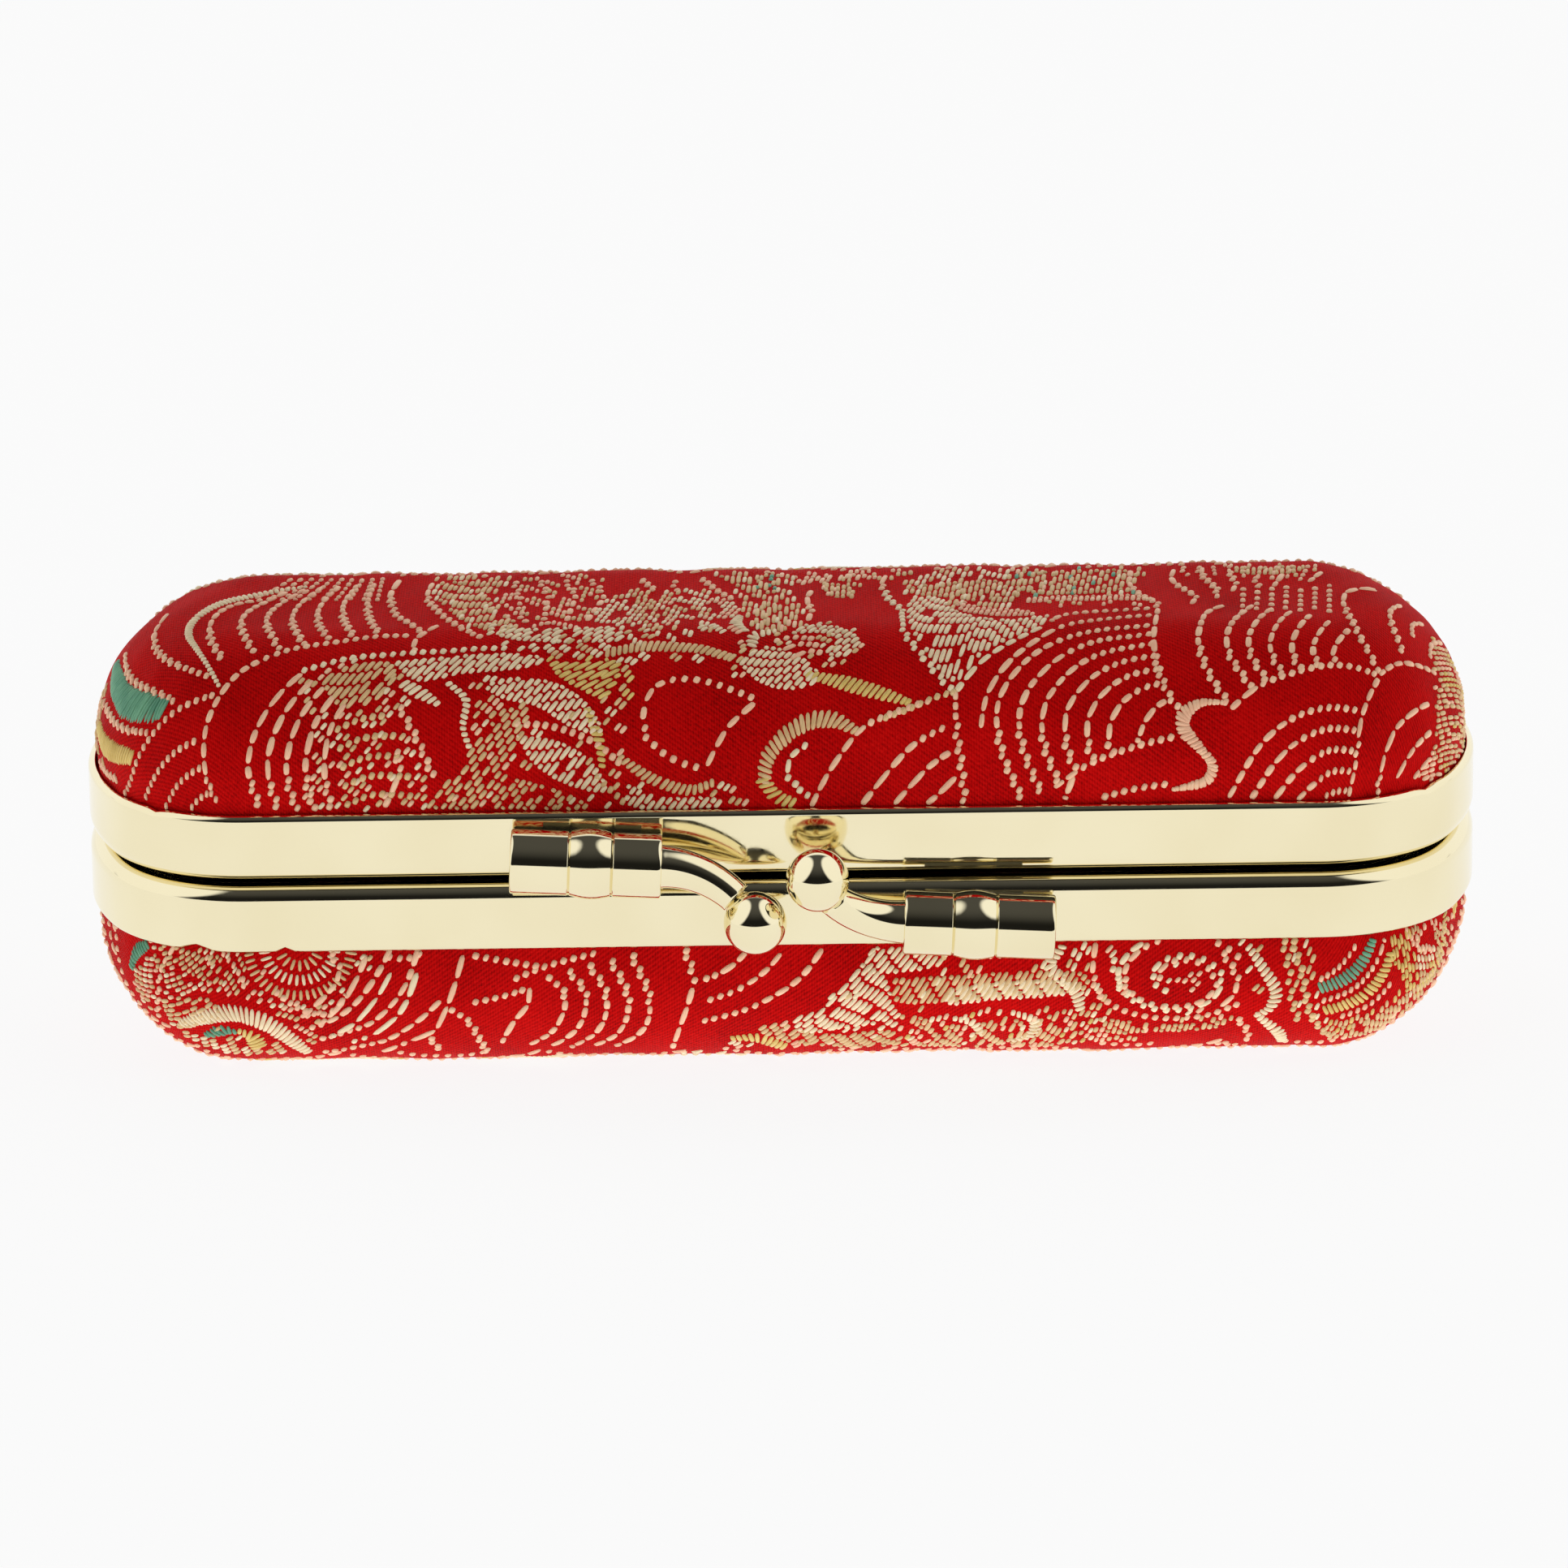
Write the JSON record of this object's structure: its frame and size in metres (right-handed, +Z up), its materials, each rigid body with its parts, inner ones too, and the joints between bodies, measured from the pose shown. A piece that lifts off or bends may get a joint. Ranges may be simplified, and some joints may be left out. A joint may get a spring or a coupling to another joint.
{
  "type": "hinged brocade case",
  "caption": "Small hinged case of two brocade-covered shells in polished metal bands, with a ball-and-arm snap clasp in front, satin lining and a mirror in the lid.",
  "frame": {"origin": "middle of the flat underside, on the surface that the closed case rests on", "axes": "+X along the case to its right, -Y toward the clasp at the front, +Z up through the lid"},
  "size_m": [0.092, 0.04, 0.0293],
  "materials": {
    "brocade": "red satin weave with raised cream, gold and a little green thread",
    "polished_gold": "mirror-polished pale gold plating",
    "card": "matt grey-brown board",
    "padding": "soft white wadding",
    "lining": "smooth red satin",
    "mirror_glass": "silvered glass"
  },
  "bodies": {
    "base": {"lower_band": "polished_gold", "lower_brocade": "brocade", "lower_clasp_arm": "polished_gold", "lower_clasp_saddle": "polished_gold", "lower_clasp_sleeve": "polished_gold", "lower_core": "card", "lower_hinge_leaf": "polished_gold", "lower_hinge_rivets": "polished_gold", "lower_lining": "lining", "lower_padding": "padding", "hinge_pin": "polished_gold"},
    "lid": {"lid_mirror": "mirror_glass", "mirror_board": "lining", "upper_band": "polished_gold", "upper_brocade": "brocade", "upper_clasp_arm": "polished_gold", "upper_clasp_saddle": "polished_gold", "upper_clasp_sleeve": "polished_gold", "upper_core": "card", "upper_hinge_leaf": "polished_gold", "upper_hinge_rivets": "polished_gold", "upper_lining": "lining", "upper_padding": "padding"}
  },
  "joints": [
    {"name": "lid_hinge", "type": "hinge", "parent": "base", "child": "lid", "pos_m": [0, 0.0163, 0.01468], "axis": [-1, 0, 0], "range_deg": [0, 105]}
  ]
}
